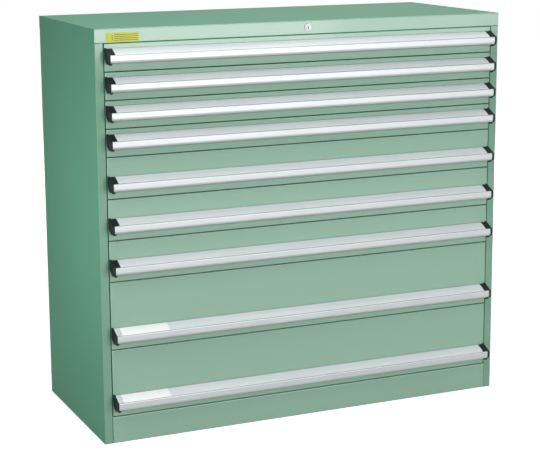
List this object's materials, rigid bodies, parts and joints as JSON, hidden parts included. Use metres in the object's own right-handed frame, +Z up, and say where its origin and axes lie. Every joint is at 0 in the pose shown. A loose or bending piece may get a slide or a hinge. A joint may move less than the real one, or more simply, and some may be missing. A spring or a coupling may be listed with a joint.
{
  "type": "industrial drawer cabinet",
  "caption": "Free-standing sheet steel tool cabinet with full-width drawers, hooked aluminium handles, roller runners and a central lock.",
  "frame": {"origin": "on the floor, at the middle of the box around the casing and its handles", "axes": "+Z up, +X to the right seen from the front, drawers open towards -Y"},
  "size_m": [1.3, 0.588, 1.2],
  "materials": {
    "green_paint": "satin powder coat, pale green",
    "zinc_steel": "zinc plated, slightly dull",
    "anodised_aluminium": "natural anodised, satin",
    "black_plastic": "moulded, fine grain",
    "chrome": "polished"
  },
  "bodies": {
    "casing": {"left_side_panel": "green_paint", "right_side_panel": "green_paint", "top_cover": "green_paint", "back_panel": "green_paint", "plinth_front": "green_paint", "floor_pan": "green_paint", "left_base_rail": "green_paint", "right_base_rail": "green_paint", "left_runner_frame": "zinc_steel", "right_runner_frame": "zinc_steel", "lock_housing": "chrome"},
    "drawer_1": {"drawer_1_tray": "green_paint", "drawer_1_front": "green_paint", "drawer_1_handle": "anodised_aluminium", "drawer_1_left_cap": "black_plastic", "drawer_1_right_cap": "black_plastic"},
    "drawer_2": {"drawer_2_tray": "green_paint", "drawer_2_front": "green_paint", "drawer_2_handle": "anodised_aluminium", "drawer_2_left_cap": "black_plastic", "drawer_2_right_cap": "black_plastic"},
    "drawer_3": {"drawer_3_tray": "green_paint", "drawer_3_front": "green_paint", "drawer_3_handle": "anodised_aluminium", "drawer_3_left_cap": "black_plastic", "drawer_3_right_cap": "black_plastic"},
    "drawer_4": {"drawer_4_tray": "green_paint", "drawer_4_front": "green_paint", "drawer_4_handle": "anodised_aluminium", "drawer_4_left_cap": "black_plastic", "drawer_4_right_cap": "black_plastic"},
    "drawer_5": {"drawer_5_tray": "green_paint", "drawer_5_front": "green_paint", "drawer_5_handle": "anodised_aluminium", "drawer_5_left_cap": "black_plastic", "drawer_5_right_cap": "black_plastic"},
    "drawer_6": {"drawer_6_tray": "green_paint", "drawer_6_front": "green_paint", "drawer_6_handle": "anodised_aluminium", "drawer_6_left_cap": "black_plastic", "drawer_6_right_cap": "black_plastic"},
    "drawer_7": {"drawer_7_tray": "green_paint", "drawer_7_front": "green_paint", "drawer_7_handle": "anodised_aluminium", "drawer_7_left_cap": "black_plastic", "drawer_7_right_cap": "black_plastic"},
    "drawer_8": {"drawer_8_tray": "green_paint", "drawer_8_front": "green_paint", "drawer_8_handle": "anodised_aluminium", "drawer_8_left_cap": "black_plastic", "drawer_8_right_cap": "black_plastic"},
    "drawer_9": {"drawer_9_tray": "green_paint", "drawer_9_front": "green_paint", "drawer_9_handle": "anodised_aluminium", "drawer_9_left_cap": "black_plastic", "drawer_9_right_cap": "black_plastic"},
    "lock_cylinder": {"lock_cylinder": "chrome"},
    "lock_link": {"lock_link": "zinc_steel"},
    "lock_bar": {"lock_bar": "zinc_steel"}
  },
  "joints": [
    {"name": "drawer_1_slide", "type": "slide", "parent": "casing", "child": "drawer_1", "axis": [0, -1, 0], "range_m": [0, 0.4]},
    {"name": "drawer_2_slide", "type": "slide", "parent": "casing", "child": "drawer_2", "axis": [0, -1, 0], "range_m": [0, 0.4]},
    {"name": "drawer_3_slide", "type": "slide", "parent": "casing", "child": "drawer_3", "axis": [0, -1, 0], "range_m": [0, 0.4]},
    {"name": "drawer_4_slide", "type": "slide", "parent": "casing", "child": "drawer_4", "axis": [0, -1, 0], "range_m": [0, 0.4]},
    {"name": "drawer_5_slide", "type": "slide", "parent": "casing", "child": "drawer_5", "axis": [0, -1, 0], "range_m": [0, 0.4]},
    {"name": "drawer_6_slide", "type": "slide", "parent": "casing", "child": "drawer_6", "axis": [0, -1, 0], "range_m": [0, 0.4]},
    {"name": "drawer_7_slide", "type": "slide", "parent": "casing", "child": "drawer_7", "axis": [0, -1, 0], "range_m": [0, 0.4]},
    {"name": "drawer_8_slide", "type": "slide", "parent": "casing", "child": "drawer_8", "axis": [0, -1, 0], "range_m": [0, 0.4]},
    {"name": "drawer_9_slide", "type": "slide", "parent": "casing", "child": "drawer_9", "axis": [0, -1, 0], "range_m": [0, 0.4]},
    {"name": "lock_bar_slide", "type": "slide", "parent": "casing", "child": "lock_bar", "axis": [0, 0, -1], "range_m": [0, 0.008]},
    {"name": "lock_turn", "type": "hinge", "parent": "casing", "child": "lock_cylinder", "pos_m": [0, -0.256, 1.18], "axis": [0, 1, 0], "range_deg": [0, 90]},
    {"name": "lock_link_slide", "type": "slide", "parent": "casing", "child": "lock_link", "axis": [1, 0, 0], "range_m": [0, 0.01275]}
  ],
  "couplings": [
    {"joint": "lock_turn", "follows": "lock_bar_slide", "rad_per_m": 196.35},
    {"joint": "lock_link_slide", "follows": "lock_bar_slide", "ratio": 1.591}
  ]
}
